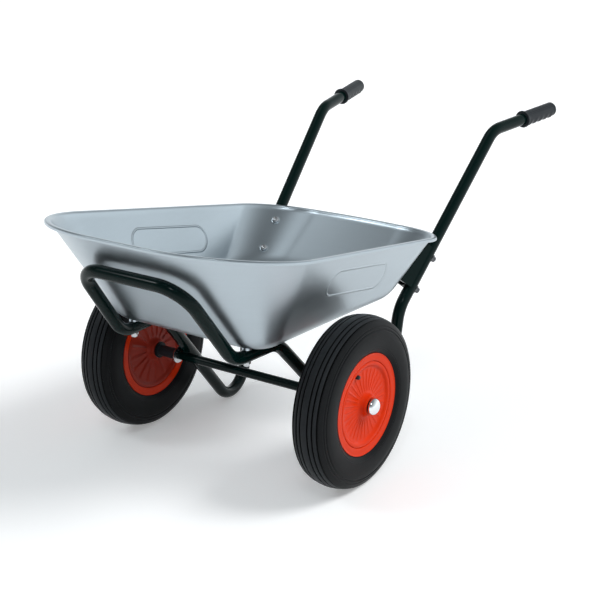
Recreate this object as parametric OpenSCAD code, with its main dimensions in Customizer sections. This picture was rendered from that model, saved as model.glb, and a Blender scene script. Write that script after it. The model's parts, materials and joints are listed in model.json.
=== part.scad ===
// Two wheel wheelbarrow: pressed sheet steel tray on a bent tube frame, a cross axle and two pneumatic wheels.
// Millimetres. X points to the left wheel as the user sees it, Y to the user, Z up. The ground is at Z = 0.
// The barrow is drawn level about its axle and then leaned back onto its feet.

/* [Tray] */
// Thickness of the tray's sheet steel
sheet_t = 1.6; // [1.4:0.1:2]
// Height of the tray floor above the axle
floor_z = 155; // [153:1:157]
// Half width of the floor at the front
floor_wf = 220; // [215:1:225]
// Half width of the floor at the rear
floor_wr = 237; // [232:1:242]
// Front edge of the floor, from the axle
floor_yf = -218; // [-220:1:-216]
// Rear edge of the floor, from the axle
floor_yr = 335; // [333:1:337]
// Size of the rounding between the floor and the walls
floor_fillet = 38; // [32:1:42]
// Half width of the rim at the front
rim_wf = 338; // [330:1:342]
// Half width of the rim at the rear
rim_wr = 293; // [288:1:297]
// Front edge of the rim, from the axle
rim_yf = -437; // [-440:1:-430]
// Rear edge of the rim at its corners, from the axle
rim_yr = 500; // [496:1:502]
// Height of the rim over the axle, at the axle
rim_z = 353; // [345:1:358]
// Fall of the rim towards the handles, per unit of length
rim_fall = 0.17; // [0.15:0.01:0.19]
// Width of the turned out lip
lip_w = 14; // [12:1:16]

/* [Frame] */
// Outer diameter of the frame tube
tube_d = 30; // [28:1:30]
// Wall thickness of the frame tube
tube_wall = 2; // [1.5:0.5:3]
// Outer diameter of the axle between the legs
axle_d = 22; // [21:0.5:22]
// Diameter of the axle ends inside the wheels
spindle_d = 20; // [18:0.5:20]
// Lean of the whole barrow when it stands on its feet, in degrees
rest_pitch = 4; // [3:0.5:4]

/* [Wheels] */
// Outer radius of the tyres
tyre_r = 200; // [196:1:200]
// Width of a tyre
tyre_w = 88; // [80:1:90]
// Distance between the middles of the two tyres
track = 620; // [616:1:640]
// Radius of the rim's flange
flange_r = 119; // [116:1:120]
// Radius of the seat that the tyre's beads sit on
seat_r = 102; // [100:1:104]
// Number of radial ribs on the outer face of a wheel
outer_ribs = 30; // [20:2:36]
// Number of radial ribs on the inner face of a wheel
inner_ribs = 16; // [10:2:20]

/* [Grips] */
// Length of a hand grip
grip_l = 130; // [125:5:150]
// Outer diameter of a hand grip
grip_d = 37; // [35:1:38]

/* [Hidden] */
$fn = 64;

steel_zinc = [0.74, 0.78, 0.80];
paint_green = [0.05, 0.14, 0.12];
wheel_red = [0.93, 0.24, 0.13];
rubber_black = [0.09, 0.09, 0.10];
plastic_black = [0.05, 0.05, 0.06];
chrome = [0.85, 0.86, 0.88];

tube_r = tube_d / 2;
// Ring sides and steps per bend of every swept tube
tube_sides = 16;
bend_steps = 6;
// Where the barrow's axle lies along the whole length, so that the origin is under its middle
axle_y = -296.4;

// Corners of the left side's centreline, level about the axle: grip end, handle bend, bend behind
// the tray, foot, bend under the tray, front bend and corner of the front loop
run_z = floor_z - tube_r;
grip_end = [304.5, 958, 512];
handle_bend = [262, 715, 491];
lower_bend = [226, 330, 112];
foot = [217, 265.3, -257.3];
run_rear = [168, -97.3, run_z];
run_front = [159, -243, run_z];
loop_corner = [144, -390, 336];
handle_bend_r = 75;
lower_bend_r = 90;
foot_r = 75;
run_rear_r = 70;
run_front_r = 65;
loop_corner_r = 72;
// Where the loop's ends meet the side rails under the tray
joint_y = -168;
spigot_l = 70;
spigot_r = 12.5;

// Bolts: thread radius, saddle washer's radius and thickness, nut radius over corners, head radius
bolt_r = 4;
saddle_r = 9.5;
saddle_t = 1.6;
nut_r = 7.5;
head_r = 9;
// Length of a bolt past the tube, through its washer and nut
bolt_past = 10;
// Bosses that lift the floor bolts' heads clear of the rounding round the floor
boss_r = 11;
boss_h = 7;
floor_bolt_y = -200;
// Places of the two handle bolts along the handle, from the lower bend's corner
handle_bolt_at = [65, 157];
// Outward turn of the handle bolts and of the brackets in plan, in degrees
bolt_turn = 38;
bracket_turn = 31;
// From the handle's centreline to the outside of the tray, along each handle bolt
wall_gap = [48.04, 35.1];
// The flats for them reach this far out of the tray and into it
flat_out = 3.1;
flat_in = 5.2;
flat_r = 12;

function unit(v) = v / norm(v);
function mix(a, b, t) = a + (b - a) * t;
function flip(p) = [-p.x, p.y, p.z];
function backwards(list) = [for (i = [len(list) - 1:-1:0]) list[i]];

// Every module below draws the left side, which this turns into the right one
module mirrored() mirror([1, 0, 0]) children();

module both() {
    children();
    mirrored() children();
}

// Leans what is drawn about the axle and stands it on the ground
module at_rest() translate([0, axle_y, tyre_r]) rotate([-rest_pitch, 0, 0]) children();

// Tubes swept along a path
// The corner b of the path a, b, c, as points on an arc of radius r
function bend_points(a, b, c, r) =
    let (u = unit(a - b), v = unit(c - b), half = acos(u * v) / 2, middle = b + unit(u + v) * r / sin(half))
    let (e0 = unit(b + u * r / tan(half) - middle), e1 = unit(b + v * r / tan(half) - middle), turn = acos(e0 * e1))
    [for (i = [0:bend_steps]) middle
        + (e0 * sin(turn * (1 - i / bend_steps)) + e1 * sin(turn * i / bend_steps)) * r / sin(turn)];

// A path with its inner corners rounded by the given radii
function rounded_path(p, r) = [for (i = [0:len(p) - 1])
    each i == 0 || i == len(p) - 1 ? [p[i]] : bend_points(p[i - 1], p[i], p[i + 1], r[i - 1])];

function tangents(p) = [for (i = [0:len(p) - 1])
    unit((i == 0 ? [0, 0, 0] : unit(p[i] - p[i - 1])) + (i == len(p) - 1 ? [0, 0, 0] : unit(p[i + 1] - p[i])))];

// One side direction per point, carried along the path without twist
function carried(t, n, i = 0) = i == len(t) ? [] :
    let (m = unit(n - t[i] * (n * t[i]))) concat([m], carried(t, m, i + 1));

function tube_ring(p, t, n, r) = let (b = cross(t, n))
    [for (k = [0.5:1:tube_sides - 0.4]) p + r * (cos(k * 360 / tube_sides) * n + sin(k * 360 / tube_sides) * b)];

// Two triangles for every step between ring i and ring j of m points
function band(i, j, m) = [for (k = [0:m - 1]) let (q = (k + 1) % m)
    each [[i * m + k, j * m + k, j * m + q], [i * m + k, j * m + q, i * m + q]]];

module tube(path, r, bore, first) {
    t = tangents(path);
    n = carried(t, first);
    m = tube_sides;
    last = len(path) - 1;
    outer = [for (i = [0:last]) each tube_ring(path[i], t[i], n[i], r)];
    inner = [for (i = [0:last]) each tube_ring(path[last - i], t[last - i], n[last - i], bore)];
    faces = [for (i = [0:2 * last + 1]) each band(i, (i + 1) % (2 * last + 2), m)];
    polyhedron(points = concat(outer, inner), faces = faces, convexity = 10);
}

joint = mix(run_rear, run_front, (run_rear.y - joint_y) / (run_rear.y - run_front.y));
handle_dir = unit(handle_bend - lower_bend);
grip_dir = unit(grip_end - handle_bend);

// Places children at a point with their Z axis along d and their X axis near the level
module along(p, d, spin = 0) translate(p)
    rotate([0, acos(unit(d).z), atan2(d.y, d.x)]) rotate([0, 0, spin]) children();

// Direction across the handle, towards the tray, for an outward turn
function across(turn) = let (v = [-sin(turn), -cos(turn) * handle_dir.z, cos(turn) * handle_dir.y])
    unit(v - handle_dir * (v * handle_dir));

bolt_dir = across(bolt_turn);
bracket_dir = across(bracket_turn);
function handle_bolt(i) = lower_bend + handle_dir * handle_bolt_at[i];
floor_bolt = [mix(run_rear, run_front, (run_rear.y - floor_bolt_y) / (run_rear.y - run_front.y)).x, floor_bolt_y, 0];

// Holes for one side's bolts, drilled through whatever they cross
module bolt_holes(r) {
    for (i = [0, 1]) along(handle_bolt(i), bolt_dir) translate([0, 0, -40]) cylinder(r = r, h = 110);
    translate([floor_bolt.x, floor_bolt.y, run_z - 40]) cylinder(r = r, h = 80);
}

module axle_bar(r) rotate([0, 90, 0]) cylinder(r = r, h = 500, center = true);

module side_rail() difference() {
    tube(rounded_path([joint, run_rear, foot, lower_bend, handle_bend, grip_end],
        [run_rear_r, foot_r, lower_bend_r, handle_bend_r]), tube_r, tube_r - tube_wall, [0, 0, 1]);
    bolt_holes(bolt_r + 0.1);
    axle_bar(axle_d / 2 + 0.03);
}

module rail_left() color(paint_green) at_rest() side_rail();

module rail_right() color(paint_green) at_rest() mirrored() side_rail();

module front_loop() color(paint_green) at_rest() difference() {
    tube(rounded_path([joint, run_front, loop_corner, flip(loop_corner), flip(run_front), flip(joint)],
        [run_front_r, loop_corner_r, loop_corner_r, run_front_r]), tube_r, tube_r - tube_wall, [0, 0, 1]);
    both() bolt_holes(bolt_r + 0.1);
}

// Turned plugs that join the loop to the rails inside the tube
module frame_spigots() color(steel_zinc) at_rest() both() difference() {
    along(joint, run_front - run_rear) translate([0, 0, -spigot_l / 2]) cylinder(r = spigot_r, h = spigot_l);
    along(joint, run_front - run_rear) translate([0, 0, -spigot_l / 2 - 1]) cylinder(r = 8, h = spigot_l + 2);
    bolt_holes(bolt_r + 0.1);
}

// The pressed tray
half_steps = [3, 12, 5, 9, 4];

// One half of a rounded outline, from the middle of the front edge to the middle of the rear one:
// half widths, front corner, front edge, rear corner, rear edge and how far the rear edge bows out
function half_outline(wf, wr, af, bf, yf, ar, br, yr, bow) = concat(
    [for (k = [0:half_steps[0] - 1]) [k / half_steps[0] * (wf - af), yf]],
    [for (k = [0:half_steps[1]]) let (a = 90 * k / half_steps[1] - 90)
        [wf - af + af * cos(a), yf + bf + bf * sin(a)]],
    [for (k = [1:half_steps[2] - 1]) mix([wf, yf + bf], [wr, yr - br], k / half_steps[2])],
    [for (k = [0:half_steps[3]]) let (a = 90 * k / half_steps[3])
        [wr - ar + ar * cos(a), yr - br + br * sin(a)]],
    [for (k = [1:half_steps[4]]) let (f = 1 - k / half_steps[4]) [f * (wr - ar), yr + bow * (1 - f * f)]]);

function outline(h) = concat(h, [for (i = [len(h) - 2:-1:1]) [-h[i].x, h[i].y]]);

function floor_outline(o) = outline(half_outline(floor_wf - o, floor_wr - o, 60 - o, 60 - o,
    floor_yf + o, 108 - o, 116 - o, floor_yr - o, 6));

function rim_outline(o) = outline(half_outline(rim_wf - o, rim_wr - o, 268 - o, 238 - o,
    rim_yf + o, 169 - o, 147 - o, rim_yr - o, 8.5));

function at_height(o, z) = [for (p = o) [p.x, p.y, z]];
function at_rim(o, z) = [for (p = o) [p.x, p.y, rim_z - rim_fall * p.y + z]];

// Rings of one face of the sheet, from the floor up to the lip; o is the depth inside the outer face
function wall_rings(o) =
    let (f = at_height(floor_outline(floor_fillet + o), floor_z + o), b = at_height(floor_outline(o), floor_z + o))
    let (a = at_rim(rim_outline(lip_w + o), -7), n = len(f))
    let (d = [for (i = [0:n - 1]) b[i] + unit(a[i] - b[i]) * floor_fillet])
    concat([for (t = [0:1 / 6:1.001]) [for (i = [0:n - 1])
            f[i] * (1 - t) * (1 - t) + b[i] * 2 * t * (1 - t) + d[i] * t * t]],
        [for (t = [1 / 3:1 / 3:1.001]) [for (i = [0:n - 1]) mix(d[i], a[i], t)]]);

// Cross-section of the lip as depth inside the rim and height over it, from outside to inside
lip_section = [[lip_w - 1.4, -4], [lip_w - 4, -2.6], [6, -2.5], [2.9, -4], [2.2, -8.4], [1.2, -9],
    [0.2, -8.2], [0, -3.5], [1.6, -1], [5, 0], [lip_w - 3.5, -0.4], [lip_w - 0.4, -2], [lip_w + 1, -4.6]];

function lip_rings() = [for (q = lip_section) at_rim(rim_outline(q.x), q.y)];

function middle(list, i = 0, sum = [0, 0, 0]) =
    i == len(list) ? sum / len(list) : middle(list, i + 1, sum + list[i]);

// A closed skin over rings of equal length, with a flat cap at each end
module skin(rings) {
    m = len(rings[0]);
    last = len(rings) - 1;
    n = m * (last + 1);
    faces = concat([for (i = [0:last - 1]) each band(i, i + 1, m)],
        [for (k = [0:m - 1]) [k, (k + 1) % m, n]],
        [for (k = [0:m - 1]) [last * m + (k + 1) % m, last * m + k, n + 1]]);
    polyhedron(points = concat([for (r = rings) each r], [middle(rings[0]), middle(rings[last])]),
        faces = faces, convexity = 10);
}

module tray_shell() skin(concat(wall_rings(0), lip_rings(), backwards(wall_rings(sheet_t))));

// What the outside of the tray encloses, carried on past the rim, for cutting the brackets to it
module tray_solid() {
    r = wall_rings(-0.03);
    skin(concat(r, [[for (i = [0:len(r[0]) - 1]) mix(r[6][i], r[9][i], 1.35)]]));
}

// Flats pressed into the rear corners for the handle bolts, and the bosses of the floor bolts
module pads() {
    for (i = [0, 1]) along(handle_bolt(i), bolt_dir)
        translate([0, 0, wall_gap[i] - flat_out]) cylinder(r = flat_r, h = flat_out + flat_in);
    at_floor_bolt(floor_z) cylinder(r = boss_r, h = boss_h);
}

module tray() color(steel_zinc) at_rest() difference() {
    union() {
        tray_shell();
        both() pads();
    }
    both() bolt_holes(bolt_r + 0.1);
}

// Brackets and fasteners
bracket_w = 32;
bracket_l = 119;
bracket_mid = 115.5;
bracket_t = 3;
bracket_at = lower_bend + handle_dir * bracket_mid;

// Channel that lies along the handle and reaches to the tray, cut to the tube and to the tray
module bracket() difference() {
    along(bracket_at, handle_dir) rotate([0, 0, bracket_spin]) difference() {
        translate([6, -bracket_w / 2, -bracket_l / 2]) cube([54, bracket_w, bracket_l]);
        translate([tube_r + 4, bracket_t - bracket_w / 2, -bracket_l / 2 - 1])
            cube([54, bracket_w - 2 * bracket_t, bracket_l + 2]);
    }
    along(bracket_at, handle_dir) translate([0, 0, -100])
        cylinder(r = tube_r + 0.03, h = 200);
    tray_solid();
    pads_clear();
    bolt_holes(bolt_r + 0.1);
}

// Turn about the handle that points the bracket's X axis to the tray
bracket_spin = let (c = cos(atan2(handle_dir.y, handle_dir.x)), s = sin(atan2(handle_dir.y, handle_dir.x)))
    let (x = [c * handle_dir.z, s * handle_dir.z, -norm([handle_dir.x, handle_dir.y])], y = [-s, c, 0])
    atan2(bracket_dir * y, bracket_dir * x);

module pads_clear() for (i = [0, 1])
    along(handle_bolt(i), bolt_dir) translate([0, 0, wall_gap[i] - flat_out - 0.1])
        cylinder(r = flat_r + 0.05, h = flat_out + flat_in);

module bracket_left() color(paint_green) at_rest() bracket();

module bracket_right() color(paint_green) at_rest() mirrored() bracket();

// Cup head bolt along Z: the head's flat side is at z = 0, the shank runs down
module cup_bolt(l) {
    rotate_extrude() polygon([[0, -l], [bolt_r - 0.5, -l], [bolt_r, -l + 0.6], [bolt_r, 0], [head_r, 0],
        [head_r, 0.6], [head_r - 0.7, 2], [head_r - 2.4, 3.5], [head_r - 4.7, 4.5], [2.2, 4.9], [0, 5]]);
}

// Saddle washer under z = 0, hollowed to sit on a tube whose axis is above it along X
module saddle() difference() {
    translate([0, 0, -saddle_t]) cylinder(r = saddle_r, h = saddle_t + 2);
    translate([0, 0, tube_r]) rotate([0, 90, 0]) cylinder(r = tube_r + 0.02, h = 60, center = true);
    translate([0, 0, -9]) cylinder(r = bolt_r + 0.2, h = 20);
}

// Hexagon nut below z = 0, with a chamfered lower edge
module nut() difference() {
    intersection() {
        translate([0, 0, -6.5]) cylinder(r = nut_r, h = 6.5, $fn = 6);
        translate([0, 0, -6.5]) cylinder(r1 = nut_r - 1, r2 = nut_r + 4, h = 6.5);
    }
    translate([0, 0, -8]) cylinder(r = bolt_r + 0.05, h = 10);
}

// Places children h over the handle's centreline on handle bolt i
module at_handle_bolt(i, h) along(handle_bolt(i), bolt_dir) rotate([0, 0, nut_spin]) translate([0, 0, h]) children();

// Turn about the bolt that lays the saddle's X axis along the handle
nut_spin = let (a = atan2(bolt_dir.y, bolt_dir.x))
    let (x = [cos(a) * bolt_dir.z, sin(a) * bolt_dir.z, -norm([bolt_dir.x, bolt_dir.y])], y = [-sin(a), cos(a), 0])
    atan2(handle_dir * y, handle_dir * x);

module handle_bolts() color(chrome) at_rest() both() for (i = [0, 1])
    at_handle_bolt(i, wall_gap[i] + flat_in + 0.05) cup_bolt(wall_gap[i] + flat_in + tube_r + bolt_past);

module handle_washers() color(chrome) at_rest() both() for (i = [0, 1]) at_handle_bolt(i, -tube_r) saddle();

module handle_nuts() color(chrome) at_rest() both() for (i = [0, 1])
    at_handle_bolt(i, -tube_r - saddle_t - 0.05) nut();

module at_floor_bolt(z) translate([floor_bolt.x, floor_bolt.y, z]) children();

module floor_bolts() color(chrome) at_rest() both()
    at_floor_bolt(floor_z + boss_h + 0.05) cup_bolt(boss_h + tube_d + bolt_past);

module floor_washers() color(chrome) at_rest() both()
    at_floor_bolt(run_z - tube_r) rotate([0, 0, atan2(run_rear.y - run_front.y, run_rear.x - run_front.x)]) saddle();

module floor_nuts() color(chrome) at_rest() both() at_floor_bolt(run_z - tube_r - saddle_t - 0.05) nut();

// Hand grips
// Moulded sleeve along Z with a closed round end, a collar and finger ridges below
module grip() difference() {
    union() {
        rotate_extrude() polygon([[0, 0], [grip_d / 2 + 3, 0], [grip_d / 2 + 3.8, 1.2], [grip_d / 2 + 3.8, 4],
            [grip_d / 2 + 3, 5.2], [grip_d / 2, 6.5], [grip_d / 2 - 0.6, 40], [grip_d / 2 - 0.6, grip_l - 40],
            [grip_d / 2, grip_l - 10], [grip_d / 2 - 0.6, grip_l - 5], [grip_d / 2 - 3, grip_l - 1.6],
            [grip_d / 2 - 7, grip_l], [0, grip_l]]);
        for (i = [0:4]) translate([3.2, 0, 20 + i * (grip_l - 40) / 4]) rotate_extrude()
            polygon([[0, -6], [grip_d / 2 - 1.6, -6], [grip_d / 2 + 0.2, -2.4], [grip_d / 2 + 0.2, 2.4],
                [grip_d / 2 - 1.6, 6], [0, 6]]);
    }
    translate([0, 0, -1]) cylinder(r = tube_r + 0.03, h = grip_l - 5);
}

module at_grip() along(grip_end - grip_dir * (grip_l - 6.2), grip_dir) children();

module grip_left() color(plastic_black) at_rest() at_grip() grip();

module grip_right() color(plastic_black) at_rest() mirrored() at_grip() grip();

// The axle and what is on it
hub_out = 48;
hub_in = 52;
axle_shoulder = 200;
axle_end = track / 2 + 56;
groove_x = track / 2 + hub_out + 4.5;

// Where the axle lies in the standing barrow, X along it
module at_axle() translate([0, axle_y, tyre_r]) rotate([0, 90, 0]) children();

module axle() color(paint_green) at_axle() difference() {
    union() {
        translate([0, 0, -axle_shoulder]) cylinder(r = axle_d / 2, h = 2 * axle_shoulder);
        translate([0, 0, -axle_end]) cylinder(r = spindle_d / 2, h = 2 * axle_end);
    }
    both_ends() translate([0, 0, groove_x]) difference() {
        cylinder(r = spindle_d / 2 + 1, h = 1.3);
        translate([0, 0, -1]) cylinder(r = spindle_d / 2 - 1, h = 4);
    }
}

module both_ends() {
    children();
    mirror([0, 0, 1]) children();
}

module ring(r, bore, h) difference() {
    cylinder(r = r, h = h);
    translate([0, 0, -1]) cylinder(r = bore, h = h + 2);
}

module inner_washers() color(chrome) at_axle() both_ends()
    translate([0, 0, axle_shoulder + 0.02]) ring(20, spindle_d / 2 + 0.03, 3);

module axle_sleeves() color(plastic_black) at_axle() both_ends()
    translate([0, 0, axle_shoulder + 3.04])
        ring(13.5, spindle_d / 2 + 0.03, track / 2 - hub_in - 2.4 - axle_shoulder - 3.04);

module outer_washers() color(chrome) at_axle() both_ends()
    translate([0, 0, track / 2 + hub_out + 2.4]) ring(15, spindle_d / 2 + 0.03, 2);

module retaining_rings() color(steel_zinc) at_axle() both_ends()
    translate([0, 0, groove_x + 0.05]) difference() {
        ring(14, spindle_d / 2 - 0.97, 1.2);
        translate([0, -2.5, -1]) cube([20, 5, 4]);
    }

// Domed cap pressed onto the axle's end
module axle_cap() translate([0, 0, track / 2 + hub_out + 3]) rotate_extrude() polygon([[18.6, 0], [20, 0], [20, 1.4],
    [19.6, 3.4], [18.3, 6.4], [15.9, 9.3], [12.2, 11.8], [7.6, 13.6], [3.4, 14.5], [0, 14.8], [0, 13.2], [3.2, 12.9],
    [7, 12.1], [11.4, 10.4], [11.4, 4.4], [10.01, 4.4], [10.01, 3.2], [12.8, 3.2], [12.8, 9.4], [14.8, 7.9], [17, 5.2],
    [18.1, 2.8], [18.6, 1.2]]);

module cap_left() color(chrome) at_axle() axle_cap();

module cap_right() color(chrome) at_axle() mirror([0, 0, 1]) axle_cap();

// The wheels
// Places children with Z along the axle, outwards, from the middle of the left or right wheel
module at_left() at_axle() translate([0, 0, track / 2]) children();

module at_right() at_axle() mirror([0, 0, 1]) translate([0, 0, track / 2]) children();

// One half of the tyre's outer face as [radius, side], with the grooves of the tread
tyre_side = [[seat_r + 0.4, 19], [seat_r + 0.05, 24], [seat_r + 0.05, 31], [seat_r + 4, 32.4], [flange_r - 2, 32.6],
    [flange_r + 0.4, 33.9],
    [flange_r + 1.2, 36.2], [flange_r + 8, 40.2], [flange_r + 10, 40], [flange_r + 17, 42.6], [tyre_r - 50, tyre_w / 2],
    [tyre_r - 38, 43.6], [tyre_r - 28, 41.6], [tyre_r - 26.6, 39.9], [tyre_r - 24, 39.6], [tyre_r - 22.4, 40.9],
    [tyre_r - 13, 37], [tyre_r - 10, 35.8]];
tread = [[tyre_r - 7, 33.5], [tyre_r - 9.6, 31.8], [tyre_r - 8.8, 29], [tyre_r - 5, 28], [tyre_r - 3, 22.5],
    [tyre_r - 6.4, 21.4], [tyre_r - 6.2, 18.8], [tyre_r - 2.4, 18], [tyre_r - 1, 11.6], [tyre_r - 4.6, 10.8],
    [tyre_r - 4.4, 8.2], [tyre_r - 0.6, 7.4], [tyre_r, 0]];
tyre_bore = [[tyre_r - 9.6, 0], [tyre_r - 11, 14], [tyre_r - 17, 27], [tyre_r - 30, 35.6], [tyre_r - 50, 38],
    [flange_r + 14, 36.4], [flange_r - 3, 26.4], [seat_r + 8, 21.4], [seat_r + 1.6, 19]];

function other_side(list) = [for (i = [len(list) - 1:-1:0]) if (list[i].y > 0) [list[i].x, -list[i].y]];

module tyre() rotate_extrude($fn = 96)
    polygon(concat(tyre_side, tread, other_side(concat(tyre_side, tread)), other_side(tyre_bore), tyre_bore));

module tyre_left() color(rubber_black) at_left() tyre();

module tyre_right() color(rubber_black) at_right() tyre();

// Soft tube that fills the tyre
tube_side = [[tyre_r - 12, 0], [tyre_r - 14, 12], [tyre_r - 20, 24], [tyre_r - 32, 32.5], [tyre_r - 50, 35],
    [flange_r + 12, 32.6], [flange_r - 6, 22], [seat_r + 2, 14], [seat_r - 8, 10], [seat_r - 12, 0]];

tube_heart = [tyre_r - 50, 0];

module inner_tube() rotate_extrude() difference() {
    polygon(concat(tube_side, other_side(tube_side)));
    polygon([for (p = concat(tube_side, other_side(tube_side))) p + unit(tube_heart - p) * 2.4]);
}

module inner_tube_left() color(rubber_black) at_left() inner_tube();

module inner_tube_right() color(rubber_black) at_right() inner_tube();

// Pressed band with the well, the bead seats and the flanges, as [radius, side]
well_r = 88;
band_out = [[well_r, 0], [well_r, 13], [seat_r - 2, 19.6], [seat_r, 22], [seat_r, 31.6], [seat_r + 1.4, 33],
    [flange_r - 2, 33.4], [flange_r, 34.6], [flange_r, 36.4]];
band_in = [[flange_r - 1.6, 36.4], [flange_r - 3, 35.2], [seat_r + 0.5, 35], [seat_r - 2, 33], [seat_r - 2, 22.4],
    [seat_r - 3.4, 20.8], [well_r - 1.4, 14.8], [well_r - 2, 13.2], [well_r - 2, 0]];
band_x = 8;
valve_at = 85;
valve_turn = 201;

module rim_band() difference() {
    rotate_extrude($fn = 96) polygon(concat(band_out, band_in, other_side(band_in), other_side(band_out)));
    at_valve() translate([0, 0, band_x]) {
        rotate([0, 90, 0]) cylinder(r = 4.4, h = 30);
        cylinder(r = 4.4, h = 30);
    }
}

// Places children on the valve's axis
module at_valve() rotate([0, 0, valve_turn]) translate([valve_at, 0, 0]) children();

// Pressed disc with its boss round the hub, without ribs
module disc() rotate_extrude($fn = 96) polygon([[seat_r - 2.05, 24], [seat_r - 2.05, 32.6], [98, 34.4], [92, 34],
    [88.5, 30.8], [85, 28], [70, 27.4], [45, 28.2], [32, 30], [27, 33], [24, 38], [22.5, 44], [20.5, 46], [17.05, 46],
    [17.05, 44], [20, 44], [20.6, 42.5], [22, 37.5], [25.2, 31.6], [31, 28.1], [45, 26.2], [70, 25.4], [85.6, 26],
    [89.4, 28.8], [92.8, 32], [97.4, 32.3], [97.9, 31.8], [97.9, 24]]);

// A star of n ribs between radii a and b, w and v half their widths there
module rib_star(n, a, b, w, v, z, h) difference() {
    translate([0, 0, z]) linear_extrude(h) polygon([for (i = [0:n - 1]) each
        [for (q = [[a, -w], [b, -v], [b, v], [a, w]]) let (t = (i + 0.5) * 360 / n)
            [q.x * cos(t) - q.y * sin(t), q.x * sin(t) + q.y * cos(t)]]]);
    translate([0, 0, z - 1]) cylinder(r = a - 0.6, h = h + 2);
}

module outer_disc() difference() {
    union() {
        disc();
        rib_star(outer_ribs, 35, 84, 1.1, 0.8, 26.8, 2.5);
    }
    at_valve() translate([0, 0, 10]) cylinder(r = 5.6, h = 40);
}

module inner_disc() mirror([0, 0, 1]) {
    disc();
    rib_star(inner_ribs, 35, 84.5, 2.6, 4.2, 26.6, 5);
}

module hub() difference() {
    union() {
        translate([0, 0, -hub_in]) cylinder(r = 17, h = hub_in + hub_out);
        translate([0, 0, -hub_in]) cylinder(r = 20, h = 4);
    }
    translate([0, 0, -60]) cylinder(r = 14.02, h = 120);
}

module bushes() {
    difference() {
        union() {
            translate([0, 0, hub_out - 22]) cylinder(r = 14, h = 22.1);
            translate([0, 0, hub_out + 0.02]) cylinder(r = 16, h = 1.98);
        }
        cylinder(r = spindle_d / 2 + 0.05, h = 100);
    }
    difference() {
        union() {
            translate([0, 0, -hub_in - 0.1]) cylinder(r = 14, h = 22.1);
            translate([0, 0, -hub_in - 2]) cylinder(r = 16, h = 1.98);
        }
        translate([0, 0, -100]) cylinder(r = spindle_d / 2 + 0.05, h = 100);
    }
}

module valve() at_valve() {
    translate([0, 0, band_x]) cylinder(r = 4, h = 27);
    translate([0, 0, band_x]) sphere(r = 4);
    translate([0, 0, band_x]) rotate([0, 90, 0]) cylinder(r = 4, h = 6.4);
}

module valve_cap() at_valve() translate([0, 0, band_x + 18]) difference() {
    rotate_extrude() polygon([[0, 0], [5, 0], [5, 9.4], [4.4, 11.2], [3, 12], [0, 12]]);
    translate([0, 0, -1]) cylinder(r = 4.03, h = 10.2);
}

module rim_left() color(wheel_red) at_left() rim_band();

module rim_right() color(wheel_red) at_right() rim_band();

module disc_outer_left() color(wheel_red) at_left() outer_disc();

module disc_outer_right() color(wheel_red) at_right() outer_disc();

module disc_inner_left() color(wheel_red) at_left() inner_disc();

module disc_inner_right() color(wheel_red) at_right() inner_disc();

module hub_left() color(plastic_black) at_left() hub();

module hub_right() color(plastic_black) at_right() hub();

module bushes_left() color(plastic_black) at_left() bushes();

module bushes_right() color(plastic_black) at_right() bushes();

module valve_left() color(rubber_black) at_left() valve();

module valve_right() color(rubber_black) at_right() valve();

module valve_cap_left() color(plastic_black) at_left() valve_cap();

module valve_cap_right() color(plastic_black) at_right() valve_cap();

tray();
front_loop();
rail_left();
rail_right();
frame_spigots();
axle();
bracket_left();
bracket_right();
handle_bolts();
handle_washers();
handle_nuts();
floor_bolts();
floor_washers();
floor_nuts();
grip_left();
grip_right();
inner_washers();
axle_sleeves();
outer_washers();
retaining_rings();
cap_left();
cap_right();
tyre_left();
tyre_right();
inner_tube_left();
inner_tube_right();
rim_left();
rim_right();
disc_outer_left();
disc_outer_right();
disc_inner_left();
disc_inner_right();
hub_left();
hub_right();
bushes_left();
bushes_right();
valve_left();
valve_right();
valve_cap_left();
valve_cap_right();
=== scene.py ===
import json
from math import acos, atan2, cos, pi, radians, sin, sqrt, tan

import bmesh
import bpy
from bpy.props import FloatProperty, FloatVectorProperty, IntProperty, PointerProperty
from mathutils import Matrix, Vector

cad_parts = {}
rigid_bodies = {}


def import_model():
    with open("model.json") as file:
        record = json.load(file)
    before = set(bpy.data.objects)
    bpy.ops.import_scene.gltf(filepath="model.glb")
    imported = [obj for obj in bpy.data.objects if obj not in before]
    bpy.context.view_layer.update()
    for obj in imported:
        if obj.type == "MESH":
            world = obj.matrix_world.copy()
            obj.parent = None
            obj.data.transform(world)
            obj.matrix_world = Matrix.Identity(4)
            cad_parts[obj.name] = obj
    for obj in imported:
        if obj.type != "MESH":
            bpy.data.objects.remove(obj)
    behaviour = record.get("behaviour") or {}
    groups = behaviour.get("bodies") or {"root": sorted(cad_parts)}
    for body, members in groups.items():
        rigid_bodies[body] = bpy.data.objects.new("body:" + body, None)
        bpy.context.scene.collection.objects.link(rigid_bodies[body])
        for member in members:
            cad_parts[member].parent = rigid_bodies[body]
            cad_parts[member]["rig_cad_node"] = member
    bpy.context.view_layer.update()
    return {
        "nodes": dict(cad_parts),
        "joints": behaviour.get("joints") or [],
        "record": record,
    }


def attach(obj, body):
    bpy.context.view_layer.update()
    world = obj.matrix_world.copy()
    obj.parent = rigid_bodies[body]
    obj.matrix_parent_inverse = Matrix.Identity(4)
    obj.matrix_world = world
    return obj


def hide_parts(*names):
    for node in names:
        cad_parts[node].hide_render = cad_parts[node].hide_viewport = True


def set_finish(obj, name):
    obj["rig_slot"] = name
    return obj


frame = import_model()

bl_info = {
    "name": "Two Wheel Wheelbarrow",
    "version": (1, 0, 0),
    "blender": (4, 5, 0),
    "location": "View3D > Sidebar > Barrow",
    "description": "Dresses the barrow's frame with its pressed tray, tubes, wheels, grips and finishes",
    "category": "Add Mesh",
}

# Middle of the axle, which both wheels turn about
AXLE = Vector((0, *frame["joints"][0]["pos_m"][1:]))
HALF_TRACK = abs(frame["joints"][0]["pos_m"][0])
MM = 0.001


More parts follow.
